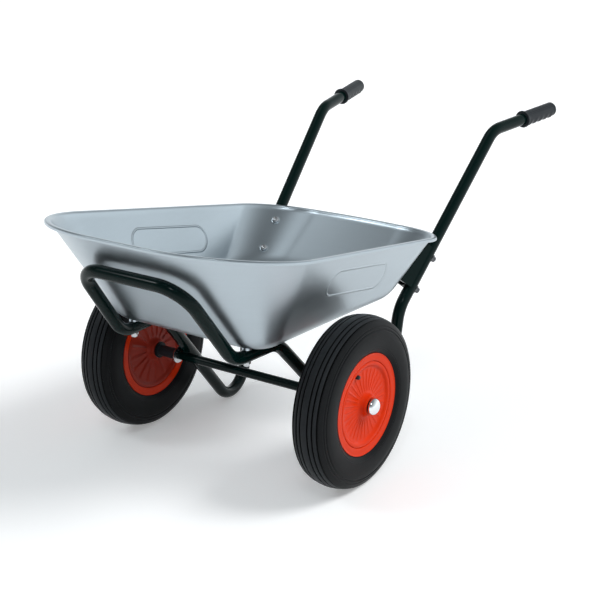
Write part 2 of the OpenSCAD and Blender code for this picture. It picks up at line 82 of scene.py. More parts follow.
class BarrowTraySettings(bpy.types.PropertyGroup):
    """Sizes of the pressed tray, measured level from the axle"""
    floor_front: FloatProperty(name="Floor Half Width, Front", default=0.220, unit="LENGTH",
                               description="Half width of the floor at the front")
    floor_rear: FloatProperty(name="Floor Half Width, Rear", default=0.237, unit="LENGTH",
                              description="Half width of the floor at the rear")
    floor_start: FloatProperty(name="Floor Front Edge", description="Front edge of the floor",
                               default=-0.218, unit="LENGTH")
    floor_end: FloatProperty(name="Floor Rear Edge", description="Rear edge of the floor",
                             default=0.335, unit="LENGTH")
    floor_height: FloatProperty(name="Floor Height", description="Height of the floor over the axle",
                                default=0.155, unit="LENGTH")
    floor_fillet: FloatProperty(name="Floor Rounding", description="Size of the rounding round the floor",
                                default=0.038, unit="LENGTH")
    rim_front: FloatProperty(name="Rim Half Width, Front", description="Half width of the rim at the front",
                             default=0.338, unit="LENGTH")
    rim_rear: FloatProperty(name="Rim Half Width, Rear", description="Half width of the rim at the rear",
                            default=0.293, unit="LENGTH")
    rim_start: FloatProperty(name="Rim Front Edge", description="Front edge of the rim",
                             default=-0.437, unit="LENGTH")
    rim_end: FloatProperty(name="Rim Rear Edge", description="Rear edge of the rim at its corners",
                           default=0.500, unit="LENGTH")
    rim_height: FloatProperty(name="Rim Height", description="Height of the rim over the axle",
                              default=0.353, unit="LENGTH")
    rim_fall: FloatProperty(name="Rim Fall", default=0.17,
                            description="Fall of the rim towards the handles, per unit of length")
    lip_width: FloatProperty(name="Lip Width", description="Width of the turned out lip",
                             default=0.014, unit="LENGTH")
    sheet: FloatProperty(name="Sheet Thickness", description="Thickness of the sheet steel",
                         default=0.0016, unit="LENGTH")


class BarrowFrameSettings(bpy.types.PropertyGroup):
    """Sizes of the bent tube frame"""
    tube_diameter: FloatProperty(name="Tube Diameter", description="Outer diameter of the frame tube",
                                 default=0.030, unit="LENGTH")
    lean: FloatProperty(name="Lean", description="Lean of the barrow when it stands on its feet",
                        default=radians(4), subtype="ANGLE")
    grip_length: FloatProperty(name="Grip Length", description="Length of a hand grip",
                               default=0.130, unit="LENGTH")
    grip_diameter: FloatProperty(name="Grip Diameter", description="Outer diameter of a hand grip",
                                 default=0.037, unit="LENGTH")


class BarrowWheelSettings(bpy.types.PropertyGroup):
    """Sizes of the wheels"""
    tyre_radius: FloatProperty(name="Tyre Radius", description="Outer radius of a tyre",
                               default=0.200, unit="LENGTH")
    tyre_width: FloatProperty(name="Tyre Width", description="Width of a tyre", default=0.088, unit="LENGTH")
    flange_radius: FloatProperty(name="Flange Radius", description="Radius of the rim's flange",
                                 default=0.119, unit="LENGTH")
    seat_radius: FloatProperty(name="Seat Radius", description="Radius of the seat under the tyre's beads",
                               default=0.102, unit="LENGTH")
    outer_ribs: IntProperty(name="Outer Ribs", description="Number of ribs on the outer disc", default=30)
    inner_ribs: IntProperty(name="Inner Ribs", description="Number of ribs on the inner disc", default=16)


class BarrowFinishSettings(bpy.types.PropertyGroup):
    """Colours of the finishes"""
    zinc: FloatVectorProperty(name="Zinc", description="Zinc coated sheet of the tray",
                              default=(0.445, 0.505, 0.545), subtype="COLOR")
    green: FloatVectorProperty(name="Frame Green", description="Paint of the frame",
                               default=(0.0015, 0.010, 0.009), subtype="COLOR")
    red: FloatVectorProperty(name="Wheel Red", description="Paint of the rims and discs",
                             default=(0.70, 0.036, 0.005), subtype="COLOR")
    rubber: FloatVectorProperty(name="Tyre Black", description="Rubber of the tyres",
                                default=(0.010, 0.011, 0.012), subtype="COLOR")
    plastic: FloatVectorProperty(name="Plastic Black", description="Grips, bushes and sleeves",
                                 default=(0.020, 0.024, 0.028), subtype="COLOR")


class BarrowStageSettings(bpy.types.PropertyGroup):
    """Where the camera stands"""
    azimuth: FloatProperty(name="Azimuth", description="Direction of the camera round the barrow",
                           default=radians(35.965), subtype="ANGLE")
    elevation: FloatProperty(name="Elevation", description="Angle of the camera above the horizon",
                             default=radians(21.977), subtype="ANGLE")
    roll: FloatProperty(name="Roll", description="Turn of the camera about its own axis",
                        default=radians(-2.479), subtype="ANGLE")
    eye: FloatVectorProperty(name="Eye", description="Camera position from the ground under the axle",
                             default=(1.8781, -2.3500, 1.5906), subtype="XYZ")
    lens: FloatProperty(name="Lens", description="Focal length on a 36 mm wide sensor, in millimetres",
                        default=83.66)


def tray():
    return bpy.context.scene.barrow_tray


def tubing():
    return bpy.context.scene.barrow_frame


def wheel():
    return bpy.context.scene.barrow_wheel


def colours():
    return bpy.context.scene.barrow_finish


# Geometry shared by the pieces

def mix(a, b, t):
    return a + (b - a) * t


def ramp(distance, width):
    """Rises from 0 to 1 over a width."""
    return min(1, max(0, distance / width))


def metres(profile):
    """A profile drawn in millimetres, in metres."""
    return [(r * MM, z * MM) for r, z in profile]


def mirror_x(p):
    return Vector((-p.x, p.y, p.z))


def resting():
    """From the barrow drawn level about its axle to the barrow standing on its feet."""
    return Matrix.Translation(AXLE) @ Matrix.Rotation(-tubing().lean, 4, "X")


def at_wheel():
    """From a wheel drawn with its axle along Z, outwards, to the wheel on the +X side."""
    return Matrix.Translation(AXLE + Vector((HALF_TRACK, 0, 0))) @ Matrix.Rotation(pi / 2, 4, "Y")


def along(point, direction):
    """Z along a direction, from a point."""
    return Matrix.Translation(point) @ direction.to_track_quat("Z", "Y").to_matrix().to_4x4()


# Radii of the bends of a rail and of the front loop, and where on the run under the tray the two meet
RAIL_BENDS = (0.070, 0.075, 0.090, 0.075)
LOOP_BENDS = (0.065, 0.072, 0.072, 0.065)
JOINT_SHARE = 0.4852
# Outward turn of the handle bolts in plan, and how far up the handle they sit from its lower bend
BOLT_TURN = radians(38)
BOLT_REACHES = (0.065, 0.157)
# From the handle's centreline to the outside of the tray, along each handle bolt
WALL_GAPS = (0.04804, 0.0351)
# How far the flats pressed for them reach out of the tray and into it
FLAT_OUT, FLAT_IN = 0.0031, 0.0052
FLOOR_BOLT = Vector((0.16165, -0.200, 0))
BOSS_HEIGHT, BOSS_RADIUS, BOSS_CHAMFER = 0.007, 0.011, 0.001
# Length of a bolt past its tube, in millimetres
BOLT_PAST = 10
AXLE_RADIUS = 0.011
# The weld's ripples: radius, and how many there are each way round the axle, and degrees between them
RIPPLE_RADIUS, RIPPLES_EACH_WAY, RIPPLE_STEP = 0.0026, 9, 5
# A turned profile stops this far from its axis, where a face closes it
NEAR_AXIS = 0.0003
# A flat's rounded edge, as radius and depth from its face
FLAT_EDGE = ((NEAR_AXIS, 0), (0.0108, 0), (0.0118, 0.0006), (0.012, 0.002))
# Faces round the pieces, and steps along a bend
TUBE_SIDES, SMALL_STEPS, ROUND_STEPS, RIM_STEPS, TYRE_STEPS, BEND_STEPS = 32, 48, 96, 144, 192, 18


class Route:
    """Corners of the left tube's centreline, level from the axle."""

    def __init__(self):
        run = tray().floor_height - tubing().tube_diameter / 2
        self.grip_end = Vector((0.3045, 0.958, 0.512))
        self.handle_bend = Vector((0.262, 0.715, 0.491))
        self.lower_bend = Vector((0.226, 0.330, 0.112))
        self.foot = Vector((0.217, 0.2653, -0.2573))
        self.run_rear = Vector((0.168, -0.0973, run))
        self.run_front = Vector((0.159, -0.243, run))
        self.loop_corner = Vector((0.144, -0.390, 0.336))
        self.joint = mix(self.run_rear, self.run_front, JOINT_SHARE)
        self.handle = (self.handle_bend - self.lower_bend).normalized()
        self.grip = (self.grip_end - self.handle_bend).normalized()

    def rail(self):
        corners = [self.joint, self.run_rear, self.foot, self.lower_bend, self.handle_bend, self.grip_end]
        return rounded(corners, RAIL_BENDS)

    def loop(self):
        half = [self.joint, self.run_front, self.loop_corner]
        return rounded(half + [mirror_x(p) for p in reversed(half)], LOOP_BENDS)

    def bolts(self):
        """Feet of the two handle bolts on the handle's centreline, and the bolts' direction."""
        across = cos(BOLT_TURN)
        wanted = Vector((-sin(BOLT_TURN), -across * self.handle.z, across * self.handle.y))
        direction = (wanted - self.handle * wanted.dot(self.handle)).normalized()
        return [self.lower_bend + self.handle * reach for reach in BOLT_REACHES], direction


def rounded(corners, radii):
    """A path whose inner corners are arcs."""
    path = [corners[0]]
    for a, b, c, radius in zip(corners, corners[1:], corners[2:], radii):
        u, v = (a - b).normalized(), (c - b).normalized()
        half = acos(u.dot(v)) / 2
        middle = b + (u + v).normalized() * radius / sin(half)
        start = (b + u * radius / tan(half) - middle).normalized()
        end = (b + v * radius / tan(half) - middle).normalized()
        turn = acos(start.dot(end))
        for i in range(BEND_STEPS + 1):
            blend = start * sin(turn * (1 - i / BEND_STEPS)) + end * sin(turn * i / BEND_STEPS)
            path.append(middle + blend * radius / sin(turn))
    return path + [corners[-1]]


def carried_frames(path, first):
    """Centre, side and cross direction at each point of a path, without twist."""
    frames, side = [], first
    for i, here in enumerate(path):
        ahead = (path[i + 1] - here).normalized() if i + 1 < len(path) else Vector()
        behind = (here - path[i - 1]).normalized() if i else Vector()
        tangent = (ahead + behind).normalized()
        side = (side - tangent * side.dot(tangent)).normalized()
        frames.append((here, side, tangent.cross(side)))
    return frames


def circle(centre, side, cross, radius, count):
    return [centre + (side * cos(2 * pi * k / count) + cross * sin(2 * pi * k / count)) * radius
            for k in range(count)]


# Making meshes

# Edges at more than this many degrees stay sharp. Finely stepped shapes have one of the next two instead
SHARP_ANGLE, ROUND_ANGLE, SOFT_ANGLE = 35, 50, 60


def alone(piece=None):
    """Leaves only the given piece selected and active."""
    if bpy.context.object and bpy.context.object.mode != "OBJECT":
        bpy.ops.object.mode_set(mode="OBJECT")
    bpy.ops.object.select_all(action="DESELECT")
    if piece:
        bpy.context.view_layer.objects.active = piece
        piece.select_set(True)


def loft(name, rings, closed=False, smooth=SHARP_ANGLE):
    """Extrudes a circle's edges from ring to ring. A closed loft comes back to its first ring, and an open
    one gets a face over each end."""
    alone()
    bpy.ops.mesh.primitive_circle_add(vertices=len(rings[0]), fill_type="NOTHING")
    piece = bpy.context.object
    piece.name = piece.data.name = name
    bpy.ops.object.mode_set(mode="EDIT")
    bpy.ops.mesh.select_mode(type="EDGE")
    bpy.ops.mesh.select_all(action="SELECT")
    shell = bmesh.from_edit_mesh(piece.data)
    shell.verts.ensure_lookup_table()
    row = list(range(len(rings[0])))
    for index, point in zip(row, rings[0]):
        shell.verts[index].co = point
    for ring in rings[1:]:
        bpy.ops.mesh.extrude_edges_move()
        shell = bmesh.from_edit_mesh(piece.data)
        shell.verts.index_update()
        shell.verts.ensure_lookup_table()
        known = set(row)
        following = []
        for index, point in zip(row, ring):
            old = shell.verts[index]
            new = next(v for v in (e.other_vert(old) for e in old.link_edges)
                       if v.select and v.index not in known)
            new.co = point
            following.append(new.index)
        row = following
    bmesh.update_edit_mesh(piece.data)
    bpy.ops.mesh.select_all(action="DESELECT")
    bpy.ops.mesh.select_non_manifold(extend=False, use_wire=False, use_boundary=True, use_multi_face=False,
                                     use_non_contiguous=False, use_verts=False)
    if closed:
        bpy.ops.mesh.bridge_edge_loops()
    else:
        bpy.ops.mesh.fill_holes(sides=0)
    return finished_mesh(piece, smooth)


def finished_mesh(piece, smooth):
    """Merges what meets, turns the faces outwards and smooths all but the sharp edges."""
    alone(piece)
    bpy.ops.object.mode_set(mode="EDIT")
    bpy.ops.mesh.select_all(action="SELECT")
    bpy.ops.mesh.remove_doubles(threshold=1e-6)
    bpy.ops.mesh.normals_make_consistent(inside=False)
    bpy.ops.object.mode_set(mode="OBJECT")
    bpy.ops.object.shade_smooth_by_angle(angle=radians(smooth))
    return piece


def turned(name, profile, place, steps=ROUND_STEPS, closed=True, smooth=SHARP_ANGLE):
    """A profile of radius and height turned about Z."""
    angles = [2 * pi * k / steps for k in range(steps)]
    rings = [[place @ Vector((r * cos(a), r * sin(a), z)) for a in angles] for r, z in profile]
    return loft(name, rings, closed, smooth)


def copied(node, name):
    """A merged and smoothed copy of a CAD node's mesh."""
    source = frame["nodes"][node]
    piece = bpy.data.objects.new(name, source.data.copy())
    bpy.context.scene.collection.objects.link(piece)
    alone(piece)
    if piece.data.has_custom_normals:
        bpy.ops.mesh.customdata_custom_splitnormals_clear()
    return finished_mesh(piece, SHARP_ANGLE)


def mirrored(piece, name):
    """The same piece on the other side, with its own mesh and its faces outwards."""
    other = piece.copy()
    other.data = piece.data.copy()
    other.name = other.data.name = name
    bpy.context.scene.collection.objects.link(other)
    other.data.transform(Matrix.Scale(-1, 4, (1, 0, 0)))
    other.data.flip_normals()
    return other


def dressed(piece, finish, slot, body, *nodes):
    """Gives a piece its finish, its body and the CAD nodes it stands for."""
    piece.data.materials.clear()
    piece.data.materials.append(finish)
    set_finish(piece, slot)
    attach(piece, body)
    if nodes:
        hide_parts(*nodes)
    return piece


def dressed_pair(left, finish, slot, body, node):
    """Dresses a left piece and its mirror image, whose names say right where the left one's say left."""
    right = mirrored(left, left.name.replace("left", "right"))
    for piece, side in ((left, "left"), (right, "right")):
        dressed(piece, finish, slot, body.replace("left", side), node.replace("left", side))


def joined(pieces, name):
    """Makes one piece of several."""
    alone()
    for piece in pieces:
        piece.select_set(True)
    bpy.context.view_layer.objects.active = pieces[0]
    bpy.ops.object.join()
    pieces[0].name = pieces[0].data.name = name
    return pieces[0]


# Rings of the tray

# Points of half an outline: on the front edge, front corner, side, rear corner and rear edge
HALF_STEPS = (10, 44, 34, 32, 16)
# Corners of the floor and of the rim, across and along at the front and then at the rear, and the bow of
# their rear edges
FLOOR_CORNERS, FLOOR_BOW = (0.060, 0.060, 0.108, 0.116), 0.006
RIM_CORNERS, RIM_BOW = (0.268, 0.238, 0.169, 0.147), 0.0085
# Height of the rim over the top of the wall, and steps up the floor's rounding and up the wall
LIP_DROP = 0.007
FILLET_STEPS, WALL_STEPS = 10, 14


def outline(half_widths, edges, corners, bow, inset):
    """A rounded outline, moved inwards by its inset, from the middle of the front edge round by +X."""
    wf, wr = (width - inset for width in half_widths)
    yf, yr = edges[0] + inset, edges[1] - inset
    af, bf, ar, br = (corner - inset for corner in corners)
    middle, front, side, rear, back = HALF_STEPS
    half = [(k / middle * (wf - af), yf) for k in range(middle)]
    half += [(wf - af + af * sin(pi / 2 * k / front), yf + bf - bf * cos(pi / 2 * k / front))
             for k in range(front + 1)]
    half += [(mix(wf, wr, k / side), mix(yf + bf, yr - br, k / side)) for k in range(1, side)]
    half += [(wr - ar + ar * cos(pi / 2 * k / rear), yr - br + br * sin(pi / 2 * k / rear))
             for k in range(rear + 1)]
    half += [((1 - k / back) * (wr - ar), yr + bow * (1 - (1 - k / back) ** 2)) for k in range(1, back + 1)]
    return half + [(-x, y) for x, y in reversed(half[1:-1])]


def floor_outline(inset):
    t = tray()
    return outline((t.floor_front, t.floor_rear), (t.floor_start, t.floor_end), FLOOR_CORNERS, FLOOR_BOW,
                   inset)


def rim_outline(inset):
    t = tray()
    return outline((t.rim_front, t.rim_rear), (t.rim_start, t.rim_end), RIM_CORNERS, RIM_BOW, inset)


def at_height(points, z):
    return [Vector((x, y, z)) for x, y in points]


def at_rim(points, z):
    t = tray()
    return [Vector((x, y, t.rim_height - t.rim_fall * y + z)) for x, y in points]


def wall_rings(inset):
    """Rings of one face of the sheet from the floor up to the lip, at a depth inside the outer face."""
    t = tray()
    flat = at_height(floor_outline(t.floor_fillet + inset), t.floor_height + inset)
    edge = at_height(floor_outline(inset), t.floor_height + inset)
    top = at_rim(rim_outline(t.lip_width + inset), -LIP_DROP)
    start = [low + (high - low).normalized() * t.floor_fillet for high, low in zip(top, edge)]
    rings = []
    for step in range(FILLET_STEPS + 1):
        u = step / FILLET_STEPS
        rings.append([f * (1 - u) ** 2 + e * 2 * u * (1 - u) + w * u * u
                      for f, e, w in zip(flat, edge, start)])
    for step in range(1, WALL_STEPS + 1):
        rings.append([mix(low, high, step / WALL_STEPS) for low, high in zip(start, top)])
    return rings


def softened(points, rounds):
    """Cuts the corners of an open line of points again and again; its ends stay."""
    for _ in range(rounds):
        cut = [points[0]]
        for a, b in zip(points, points[1:]):
            cut += [tuple(mix(p, q, share) for p, q in zip(a, b)) for share in (0.25, 0.75)]
        points = cut + [points[-1]]
    return points


def refined(points, longest):
    """Adds points to the segments of an open line that are longer than a given length."""
    out = [points[0]]
    for a, b in zip(points, points[1:]):
        parts = max(1, round(sqrt(sum((q - p) ** 2 for p, q in zip(a, b))) / longest))
        out += [tuple(mix(p, q, k / parts) for p, q in zip(a, b)) for k in range(1, parts + 1)]
    return out


def lip_rings():
    """Rings of the turned out lip, from under its inner edge round its hem to the top of the inner wall."""
    w = tray().lip_width * 1000
    section = [(w - 1.4, -4), (w - 4, -2.6), (6, -2.5), (2.9, -4), (2.2, -8.4), (1.2, -9), (0.2, -8.2),
               (0, -3.5), (1.6, -1), (5, 0), (w - 3.5, -0.4), (w - 0.4, -2), (w + 1, -4.6)]
    return [at_rim(rim_outline(x * MM), z * MM) for x, z in softened(section, 2)]


class BARROW_OT_tray(bpy.types.Operator):
    """Loft the pressed tray with its rounded floor, flared walls and turned lip"""
    bl_idname = "barrow.tray"
    bl_label = "Tray"

    def execute(self, context):
        t = tray()
        lean = resting()
        rings = wall_rings(0) + lip_rings() + list(reversed(wall_rings(t.sheet)))
        shell = loft("tray_shell", [[lean @ p for p in ring] for ring in rings], smooth=ROUND_ANGLE)
        feet, direction = Route().bolts()
        pads = []
        for foot, gap in zip(feet, WALL_GAPS):
            low, high = gap - FLAT_OUT, gap + FLAT_IN
            profile = [(r, low + depth) for r, depth in FLAT_EDGE]
            profile += [(r, high - depth) for r, depth in reversed(FLAT_EDGE)]
            pads.append(turned("tray_pad", profile, lean @ along(foot, direction), SMALL_STEPS, closed=False))
        below, above = t.floor_height, t.floor_height + BOSS_HEIGHT
        boss = [(NEAR_AXIS, below), (BOSS_RADIUS, below), (BOSS_RADIUS, above - BOSS_CHAMFER),
                (BOSS_RADIUS - BOSS_CHAMFER, above), (NEAR_AXIS, above)]
        place = lean @ Matrix.Translation(FLOOR_BOLT)
        pads.append(turned("tray_pad", boss, place, SMALL_STEPS, closed=False))
        pads += [mirrored(pad, "tray_pad") for pad in pads]
        sheet = joined([shell] + pads, "tray_sheet")
        dressed(sheet, FINISHES["sheet_steel"], "sheet_steel", "frame", "tray")
        return {"FINISHED"}


class BARROW_OT_frame(bpy.types.Operator):
    """Sweep the front loop and the two rails, and dress the axle and the brackets"""
    bl_idname = "barrow.frame"
    bl_label = "Frame"

    def execute(self, context):
        route, lean = Route(), resting()
        radius = tubing().tube_diameter / 2

        def swept(name, path):
            rings = [[lean @ p for p in circle(*station, radius, TUBE_SIDES)]
                     for station in carried_frames(path, Vector((0, 0, 1)))]
            return loft(name, rings)

        paint = FINISHES["frame_paint"]
        dressed(swept("front_loop_tube", route.loop()), paint, "frame_paint", "frame", "front_loop")
        dressed_pair(swept("rail_left_tube", route.rail()), paint, "frame_paint", "frame", "rail_left")
        for node in ("axle", "bracket_left", "bracket_right"):
            dressed(copied(node, node + "_painted"), paint, "frame_paint", "frame", node)
        seam = self.weld(route, lean)
        dressed(joined([seam, mirrored(seam, "weld")], "axle_welds"), paint, "frame_paint", "frame")
        return {"FINISHED"}

    def weld(self, route, lean):
        """Overlapping ripples along the line where the left rail's leg meets the axle."""
        leg = (route.foot - route.run_rear).normalized()
        radius = tubing().tube_diameter / 2
        ends = []
        for k in range(-RIPPLES_EACH_WAY, RIPPLES_EACH_WAY + 1):
            a = atan2(leg.y, -leg.z) + radians(RIPPLE_STEP * k)
            spot = Vector((0, AXLE_RADIUS * cos(a), AXLE_RADIUS * sin(a))) - route.run_rear
            # Where the line along the axle through this spot crosses the leg's surface
            p, q = 1 - leg.x ** 2, spot.x - leg.x * spot.dot(leg)
            r = spot.dot(spot) - spot.dot(leg) ** 2 - radius ** 2
            if q * q > p * r:
                ends.append([spot + route.run_rear + Vector(((-q + side * sqrt(q * q - p * r)) / p, 0, 0))
                             for side in (-1, 1)])
        ripples = []
        for point in [pair[0] for pair in ends] + [pair[1] for pair in reversed(ends)]:
            alone()
            bpy.ops.mesh.primitive_uv_sphere_add(segments=12, ring_count=8, radius=RIPPLE_RADIUS,
                                                 location=lean @ point)
            bpy.ops.object.transform_apply()
            ripples.append(bpy.context.object)
        return finished_mesh(joined(ripples, "weld"), SOFT_ANGLE)


class BARROW_OT_fasteners(bpy.types.Operator):
    """Turn the domed bolts and dress the nuts and washers"""
    bl_idname = "barrow.fasteners"
    bl_label = "Fasteners"

    def execute(self, context):
        route, lean = Route(), resting()
        radius = tubing().tube_diameter / 2
        feet, direction = route.bolts()
        zinc = FINISHES["bright_zinc"]

        def bolt(name, place, length):
            head = softened([(9, 0), (9, 0.9), (8.4, 2.2), (6.6, 3.7), (4.2, 4.6), (2, 4.95), (0.3, 5)], 2)
            profile = [(0.3, -length), (3.4, -length), (4, -length + 0.7), (4, 0)] + head
            return turned(name, metres(profile), place, SMALL_STEPS, closed=False)

        handles = []
        for foot, gap in zip(feet, WALL_GAPS):
            place = lean @ along(foot, direction) @ Matrix.Translation((0, 0, gap + FLAT_IN))
            handles.append(bolt("handle_bolt", place, (gap + FLAT_IN + radius) * 1000 + BOLT_PAST))
        handles += [mirrored(piece, "handle_bolt") for piece in handles]
        dressed(joined(handles, "handle_bolts_domed"), zinc, "bright_zinc", "frame", "handle_bolts")
        top = Vector((0, 0, tray().floor_height + BOSS_HEIGHT))
        floor = [bolt("floor_bolt", lean @ Matrix.Translation(FLOOR_BOLT + top),
                      (BOSS_HEIGHT + 2 * radius) * 1000 + BOLT_PAST)]
        floor += [mirrored(floor[0], "floor_bolt")]
        dressed(joined(floor, "floor_bolts_domed"), zinc, "bright_zinc", "frame", "floor_bolts")
        for node in ("handle_washers", "handle_nuts", "floor_washers", "floor_nuts", "inner_washers",
                     "outer_washers"):
            # The handle's nuts and washers get a darker zinc than the other fasteners
            finish = FINISHES["dull_zinc"] if node.startswith("handle") else zinc
            dressed(copied(node, node + "_zinc"), finish, "bright_zinc", "frame", node)
        return {"FINISHED"}


# The grip's collar, as height over the grip's radius and place along it
GRIP_COLLAR = ((0.003, 0), (0.0037, 0.0012), (0.0037, 0.004), (0.003, 0.0052), (0, 0.0065), (-0.0003, 0.012))
# How far its barrel lies under that radius, how far the grip reaches past the tube, and its plain ends
GRIP_WAIST, GRIP_PAST, GRIP_PLAIN = 0.0006, 0.0062, 0.020
GRIP_RIBS, RIB_HEIGHT = 24, 0.0008
GRIP_SCALLOPS, SCALLOP_DEPTH = 4, 0.0032


class BARROW_OT_grips(bpy.types.Operator):
    """Loft the moulded hand grips with their ribs and finger scallops"""
    bl_idname = "barrow.grips"
    bl_label = "Grips"

    def execute(self, context):
        s = tubing()
        route, lean = Route(), resting()
        length, radius = s.grip_length, s.grip_diameter / 2
        place = lean @ along(route.grip_end - route.grip * (length - GRIP_PAST), route.grip)
        down = (place.to_3x3().inverted() @ Vector((0, 0, -1))).normalized()
        side = Vector((-down.y, down.x, 0)).normalized()
        down = side.cross(Vector((0, 0, 1)))
        bore = s.tube_diameter / 2 + 0.0001
        outer = [(radius + proud, z) for proud, z in GRIP_COLLAR]
        outer += [(radius - GRIP_WAIST, z * MM) for z in range(14, int(length * 1000) - 10, 2)]
        end = softened([(radius - GRIP_WAIST, length - 0.010), (radius, length - 0.008),
                        (radius - GRIP_WAIST, length - 0.0035), (radius - 0.004, length - 0.0008),
                        (radius - 0.009, length), (NEAR_AXIS, length)], 2)
        profile = [(NEAR_AXIS, 0.0005), (bore, 0.0005)] + outer + end
        rings = []
        for r, z in profile:
            moulded = ramp(z - 0.010, 0.008) * ramp(length - 0.010 - z, 0.010)
            wave = 0.5 - 0.5 * cos(2 * pi * (z - GRIP_PLAIN) / ((length - 2 * GRIP_PLAIN) / GRIP_SCALLOPS))
            ring = []
            for k in range(ROUND_STEPS):
                a = 2 * pi * k / ROUND_STEPS
                below, above = max(0, cos(a)), max(0, -cos(a) - 0.15)
                scallop = SCALLOP_DEPTH * below * (1 - wave)
                rib = RIB_HEIGHT * (0.5 + 0.5 * cos(GRIP_RIBS * a)) * min(1, 3 * above)
                full = r + moulded * (scallop + rib - RIB_HEIGHT / 2)
                ring.append(place @ ((down * cos(a) + side * sin(a)) * full + Vector((0, 0, z))))
            rings.append(ring)
        left = loft("grip_left_moulded", rings, smooth=SOFT_ANGLE)
        dressed_pair(left, FINISHES["black_plastic"], "black_plastic", "frame", "grip_left")
        return {"FINISHED"}


# A disc is ribbed between these radii, in millimetres, and each rib takes this many steps
RIBS_FROM, RIBS_TO, RIB_STEPS = 28, 87, 16


def disc_profile():
    """Closed section of a wheel disc with its boss, as radius and height in millimetres."""
    front = [(99.95, 24), (99.95, 32.6), (98, 34.4), (92, 34), (88.5, 30.8), (85, 28), (70, 27.4), (45, 28.2),
             (32, 30), (27, 33), (24, 38), (22.5, 44), (20.5, 46), (17.05, 46)]
    back = [(17.05, 44), (20, 44), (20.6, 42.5), (22, 37.5), (25.2, 31.6), (31, 28.1), (45, 26.2), (70, 25.4),
            (85.6, 26), (89.4, 28.8), (92.8, 32), (97.4, 32.3), (97.9, 31.8), (97.9, 24)]
    return refined(softened(front, 2), 2.5) + refined(softened(back, 2), 4)


def ribbed_disc(name, place, ribs, height, sharpness):
    """A wheel disc with fine ribs pressed into its face."""
    steps = ribs * RIB_STEPS
    rings = []
    for r, z in disc_profile():
        share = ramp(r - RIBS_FROM, 10) * ramp(RIBS_TO - r, 7)
        ring = []
        for k in range(steps):
            a = 2 * pi * k / steps
            rib = height * share * (0.5 + 0.5 * cos(2 * pi * k / RIB_STEPS)) ** sharpness
            ring.append(place @ Vector((r * MM * cos(a), r * MM * sin(a), (z + rib) * MM)))
        rings.append(ring)
    return loft(name, rings, closed=True, smooth=SOFT_ANGLE)


